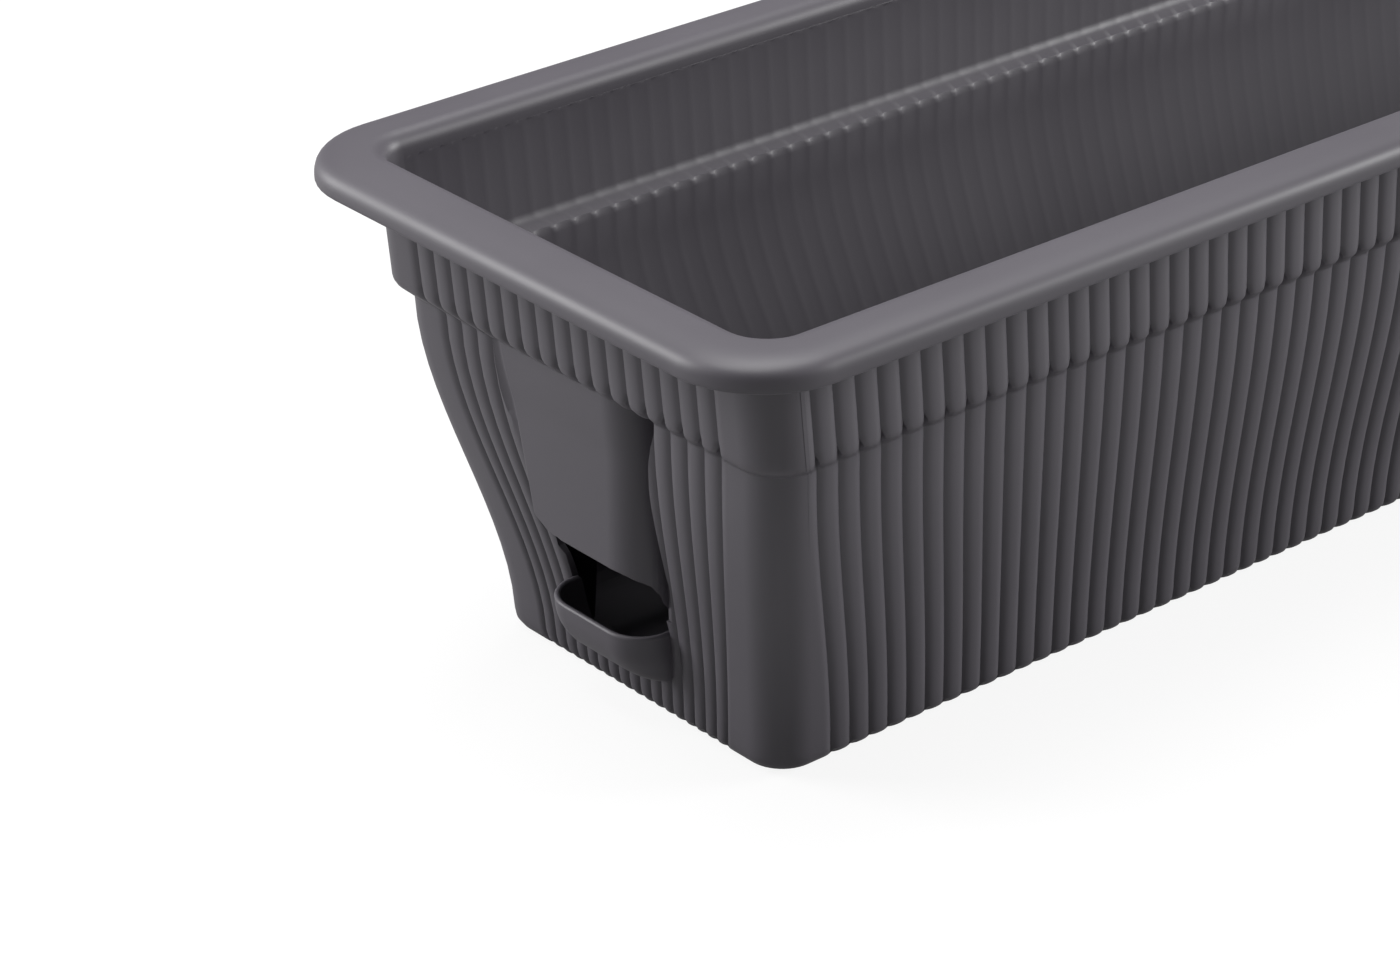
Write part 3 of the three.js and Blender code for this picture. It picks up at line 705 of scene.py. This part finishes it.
def wick_slots(floors, x, foot):
    """Three upright slots through each side of a wick cup."""
    offset = (np.arange(3) - 1) / 3 * (floors.cup_foot - CUP_CORNER)
    half, reach = WICK_SLOT_WIDTH / 2, floors.cup_top / 2
    low = foot + CUP_WALL + WICK_SLOT_FOOT
    high = low + WICK_SLOT_HEIGHT
    across = [[(x + c - half, -reach, low), (x + c + half, reach, high)] for c in offset]
    along = [[(x - reach, c - half, low), (x + reach, c + half, high)] for c in offset]
    slots = blocks("wick_slots", np.array(across))
    return combine(slots, blocks("wick_slots_along", np.array(along)), "UNION")


def tongue(box, fill, floors, reach):
    """Step up and over into the hood's hollow, which keeps soil out of the filling point."""
    shift = box.wall + TONGUE_GAP
    near, far = HOOD_NEAR + shift, HOOD_FAR - shift - TONGUE_GAP
    edge = box.length / 2 - reach
    back = edge + floors.deck
    corner = min(fill.corner - shift, back - fill.front - shift)
    head = floors.top + TONGUE_RISE
    ring = [
        spout_outline(box, z, fill.front + shift, near, far, corner, HOOD_EDGE, back=back)
        for z in (head - floors.deck, head)
    ]
    riser = blocks("riser", np.array([[
        (end_x(box, edge), near, floors.top - floors.deck), (end_x(box, back), far, head),
    ]]))
    return combine(loft("tongue", ring), riser, "UNION")


def false_floor(name, box, fill, floors, left):
    """Slotted deck on six legs with two wick cups and two stiffening ribs."""
    under = floors.top - floors.deck
    clear = body_inset(box, under) + box.wall + floors.gap
    reach = box.length / 2 - clear - box.end_setback
    width = box.width - 2 * clear
    span = reach - floors.joint_gap / 2
    x = (floors.joint_gap + span) / 2 * (-1 if left else 1)
    foot = box.floor + SEAT_GAP
    cups = (x - floors.cup_pitch / 2, x + floors.cup_pitch / 2)

    piece = tapered(
        name, x, 0, (under, span, width), (floors.top, span, width), DECK_CORNER, *DECK_SOFT,
    )
    run = span / 2 - LEG_INSET
    half = RIB_THICKNESS / 2
    combine(piece, blocks("ribs", np.array([
        [(x - run, y - half, under - RIB_HEIGHT), (x + run, y + half, under + OVERLAP)]
        for y in (RIB_INSET - width / 2, width / 2 - RIB_INSET)
    ])), "UNION")
    for along in (-run, 0, run):
        for across in (LEG_INSET - width / 2, width / 2 - LEG_INSET):
            combine(piece, tapered(
                "leg", x + along, across, (foot, LEG_FOOT, LEG_FOOT),
                (under + OVERLAP, LEG_TOP, LEG_TOP), LEG_CORNER, LEG_SOFT,
            ), "UNION")
    for cup in cups:
        combine(piece, tapered(
            "cup", cup, 0, (foot, floors.cup_foot, floors.cup_foot),
            (floors.top, floors.cup_top, floors.cup_top), CUP_CORNER, CUP_SOFT,
        ), "UNION")
    combine(piece, drain_slots(floors, x, span, width, cups), "DIFFERENCE")
    # The hollow of a cup keeps its taper on through the deck's top, one millimetre past it.
    grow = (floors.cup_top - floors.cup_foot) / (floors.top - foot)
    mouth = floors.cup_top - 2 * CUP_WALL + grow
    inner_foot = floors.cup_foot - 2 * CUP_WALL
    for cup in cups:
        combine(piece, tapered(
            "cup_hollow", cup, 0, (foot + CUP_WALL, inner_foot, inner_foot),
            (floors.top + 1, mouth, mouth), CUP_CORNER - CUP_WALL, CUP_HOLLOW_SOFT,
        ), "DIFFERENCE")
        combine(piece, wick_slots(floors, cup, foot), "DIFFERENCE")
    if left:
        shift = box.wall + TONGUE_GAP
        combine(piece, blocks("notch", np.array([[
            (end_x(box, 0), FLUTE_EDGE[:, 1].min() - shift, 0),
            (end_x(box, fill.flute + shift), HOOD_NEAR + shift, box.height),
        ]])), "DIFFERENCE")
        combine(piece, tongue(box, fill, floors, reach), "UNION")
    smooth(piece, FLOOR_CREASE)
    return piece


# ---------------------------------------------------------------- materials


def add(tree, kind, inputs=(), **settings):
    """Adds a node, sets its own settings, then sets or links its inputs."""
    node = tree.nodes.new(kind)
    for name, value in settings.items():
        setattr(node, name, value)
    for name, value in dict(inputs).items():
        if isinstance(value, bpy.types.NodeSocket):
            tree.links.new(value, node.inputs[name])
        else:
            node.inputs[name].default_value = value
    return node


POLYPROPYLENE_IOR = 1.49
BOX_ROUGHNESS, FLOOR_ROUGHNESS = 0.5, 0.5
CLOUDS_PER_METRE, GRAINS_PER_METRE = 16.0, 1900.0
# Darkest and lightest of the clouds against the colour, and the spread of roughness.
TONE_RANGE = (0.93, 1.06)
ROUGHNESS_RANGE = 0.04
GRAIN_STRENGTH = 0.12
GRAIN_DEPTH = 0.08 * MM


def moulded_polypropylene(name, colour, roughness):
    """Injection-moulded polypropylene, matt-satin: a soft broad sheen, a very fine spark-eroded
    grain from the mould, and faint cloudy differences in gloss and tone from the flow."""
    material = bpy.data.materials.new(name)
    material.use_nodes = True
    tree = material.node_tree
    tree.nodes.clear()
    place = add(tree, "ShaderNodeTexCoord").outputs["Object"]
    # Cloudy flow marks about 60 mm across, and mould grain drawn at 0.5 mm so that it shows.
    clouds = add(tree, "ShaderNodeTexNoise", {
        "Vector": place, "Scale": CLOUDS_PER_METRE, "Detail": 3.0, "Roughness": 0.5,
    })
    grain = add(tree, "ShaderNodeTexNoise", {
        "Vector": place, "Scale": GRAINS_PER_METRE, "Detail": 2.0, "Roughness": 0.6,
    })
    tone = add(tree, "ShaderNodeMix", {"Factor": clouds.outputs["Fac"]}, data_type="RGBA")
    for socket, level in zip("AB", TONE_RANGE):
        tone.inputs[socket].default_value = tuple(min(1, level * c) for c in colour) + (1,)
    gloss = add(tree, "ShaderNodeMapRange", {
        "Value": clouds.outputs["Fac"], "From Min": 0.3, "From Max": 0.7,
        "To Min": roughness - ROUGHNESS_RANGE, "To Max": roughness + ROUGHNESS_RANGE,
    })
    bump = add(tree, "ShaderNodeBump", {
        "Height": grain.outputs["Fac"], "Strength": GRAIN_STRENGTH, "Distance": GRAIN_DEPTH,
    })
    shader = add(tree, "ShaderNodeBsdfPrincipled", {
        "Base Color": tone.outputs["Result"], "Roughness": gloss.outputs["Result"],
        "Normal": bump.outputs["Normal"], "IOR": POLYPROPYLENE_IOR,
    })
    add(tree, "ShaderNodeOutputMaterial", {"Surface": shader.outputs["BSDF"]})
    return material


def dress(piece, material, body):
    """Gives a piece its material and hangs it on its body."""
    piece.data.materials.clear()
    piece.data.materials.append(material)
    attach(piece, body)


# ---------------------------------------------------------------- operators


class PLANTER_OT_box(bpy.types.Operator):
    """Builds the moulded box with its reeds, rim, hood and scoop"""

    bl_idname = "planter.box"
    bl_label = "Moulded box"

    def execute(self, context):
        scene = context.scene
        piece = moulded_box(scene.planter_box, scene.planter_reeds, scene.planter_fill)
        colour = scene.planter_plastic.box
        material = moulded_polypropylene("anthracite_polypropylene", colour, BOX_ROUGHNESS)
        dress(piece, material, "box")
        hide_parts("planter_box")
        return {"FINISHED"}


class PLANTER_OT_false_floors(bpy.types.Operator):
    """Builds the two lift-out false floors"""

    bl_idname = "planter.false_floors"
    bl_label = "False floors"

    def execute(self, context):
        scene = context.scene
        colour = scene.planter_plastic.floors
        material = moulded_polypropylene("black_polypropylene", colour, FLOOR_ROUGHNESS)
        for node, body in (("false_floor_a", "floor_left"), ("false_floor_b", "floor_right")):
            piece = false_floor(
                f"false_{body}", scene.planter_box, scene.planter_fill, scene.planter_floors,
                left=body == "floor_left",
            )
            dress(piece, material, body)
            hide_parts(node)
        return {"FINISHED"}


# Name, place, the point it faces, size in metres and power in watts.
LAMPS = (
    ("left_softbox", (-1.5, 1.5, 0.8), (-0.35, 0, 0.08), (1.0, 1.2), 50),
    ("top_softbox", (-0.1, 0.3, 2.2), (0, 0, 0.08), (2.4, 1.4), 70),
    ("right_softbox", (2.0, -1.3, 0.8), (-0.1, -0.1, 0.08), (0.9, 1.0), 74),
)
WORLD_STRENGTH = 0.16
# Shares of plain white in what camera and mirror rays see of the floor, and the paper's own colour.
CAMERA_SHARE, MIRROR_SHARE = 0.88, 0.15
PAPER_WHITE = (0.9, 0.9, 0.9, 1)
FLOOR_HALF = 6000.0
SENSOR_WIDTH = 36
CLIP_END = 100


def lamp(name, place, target, size, power):
    """A rectangular soft lamp that faces a point."""
    light = bpy.data.lights.new(name, "AREA")
    light.shape = "RECTANGLE"
    light.size, light.size_y = size
    light.energy = power
    thing = bpy.data.objects.new(name, light)
    thing.location = place
    thing.rotation_euler = (Vector(target) - Vector(place)).to_track_quat("-Z", "Y").to_euler()
    bpy.context.collection.objects.link(thing)
    return thing


def backdrop_material(colour):
    """Paper that the camera sees overexposed to white, as in the photograph, with a faint shadow.

    A mirror ray sees it dimmer, and it throws back only as much light as its grey says."""
    material = bpy.data.materials.new("white_paper")
    material.use_nodes = True
    tree = material.node_tree
    tree.nodes.clear()
    path = add(tree, "ShaderNodeLightPath").outputs
    direct = add(
        tree, "ShaderNodeMath", {0: path["Is Camera Ray"], 1: CAMERA_SHARE}, operation="MULTIPLY",
    )
    share = add(
        tree, "ShaderNodeMath", {0: path["Is Glossy Ray"], 1: MIRROR_SHARE, 2: direct.outputs[0]},
        operation="MULTIPLY_ADD",
    )
    shade = add(tree, "ShaderNodeMix", {"Factor": path["Is Camera Ray"]}, data_type="RGBA")
    shade.inputs["A"].default_value = tuple(colour) + (1,)
    shade.inputs["B"].default_value = PAPER_WHITE
    paper = add(tree, "ShaderNodeBsdfDiffuse", {"Color": shade.outputs["Result"]})
    white = add(tree, "ShaderNodeEmission", {"Color": (1, 1, 1, 1), "Strength": 1.0})
    mix = add(tree, "ShaderNodeMixShader", {
        0: share.outputs[0], 1: paper.outputs[0], 2: white.outputs[0],
    })
    add(tree, "ShaderNodeOutputMaterial", {"Surface": mix.outputs[0]})
    return material


class PLANTER_OT_stage(bpy.types.Operator):
    """Sets up the camera, the floor, the lamps and the world"""

    bl_idname = "planter.stage"
    bl_label = "Stage"

    def execute(self, context):
        look = context.scene.planter_stage
        camera = bpy.data.cameras.new("camera")
        camera.sensor_width = SENSOR_WIDTH
        camera.lens = look.lens
        camera.clip_end = CLIP_END
        thing = bpy.data.objects.new("camera", camera)
        level = math.cos(look.pitch)
        ahead = Vector((
            math.sin(look.azimuth) * level, math.cos(look.azimuth) * level, -math.sin(look.pitch),
        ))
        thing.location = look.place
        thing.rotation_euler = ahead.to_track_quat("-Z", "Y").to_euler()
        context.collection.objects.link(thing)
        context.scene.camera = thing

        corners = FLOOR_HALF * np.array([(-1, -1, 0), (1, -1, 0), (1, 1, 0), (-1, 1, 0)])
        floor = new_mesh("floor", corners, [np.arange(4)[None]])
        floor.data.materials.append(backdrop_material(look.backdrop))

        for name, place, target, size, power in LAMPS:
            lamp(name, place, target, size, power)

        world = bpy.data.worlds.new("studio")
        context.scene.world = world
        world.use_nodes = True
        tree = world.node_tree
        tree.nodes.clear()
        path = add(tree, "ShaderNodeLightPath")
        soft = add(tree, "ShaderNodeBackground", {
            "Color": (1, 1, 1, 1), "Strength": WORLD_STRENGTH,
        })
        white = add(tree, "ShaderNodeBackground", {"Color": (1, 1, 1, 1), "Strength": 1.0})
        mix = add(tree, "ShaderNodeMixShader", {
            0: path.outputs["Is Camera Ray"], 1: soft.outputs[0], 2: white.outputs[0],
        })
        add(tree, "ShaderNodeOutputWorld", {"Surface": mix.outputs[0]})
        context.scene.view_settings.view_transform = "Standard"
        return {"FINISHED"}


class PLANTER_PT_panel(bpy.types.Panel):
    """Lists the steps in the 3D view's sidebar"""

    bl_idname = "PLANTER_PT_panel"
    bl_label = "Window box planter"
    bl_space_type = "VIEW_3D"
    bl_region_type = "UI"
    bl_category = "Planter"

    def draw(self, context):
        for operator in OPERATORS:
            self.layout.operator(operator.bl_idname)


GROUPS = {
    "planter_box": BoxSizes,
    "planter_reeds": ReedSizes,
    "planter_fill": FillSizes,
    "planter_floors": FloorSizes,
    "planter_plastic": PlasticLook,
    "planter_stage": StageLook,
}
OPERATORS = (PLANTER_OT_box, PLANTER_OT_false_floors, PLANTER_OT_stage)


def register():
    """Registers the classes and hangs each group of settings on the scene."""
    for name, group in GROUPS.items():
        bpy.utils.register_class(group)
        setattr(bpy.types.Scene, name, PointerProperty(type=group))
    for thing in OPERATORS + (PLANTER_PT_panel,):
        bpy.utils.register_class(thing)


def unregister():
    """Takes the panel, the operators and the settings away again."""
    for thing in (PLANTER_PT_panel,) + OPERATORS[::-1]:
        bpy.utils.unregister_class(thing)
    for name, group in GROUPS.items():
        delattr(bpy.types.Scene, name)
        bpy.utils.unregister_class(group)


def main():
    """Builds every piece and the stage."""
    register()
    for step in (bpy.ops.planter.box, bpy.ops.planter.false_floors, bpy.ops.planter.stage):
        step()


if __name__ == "__main__":
    main()
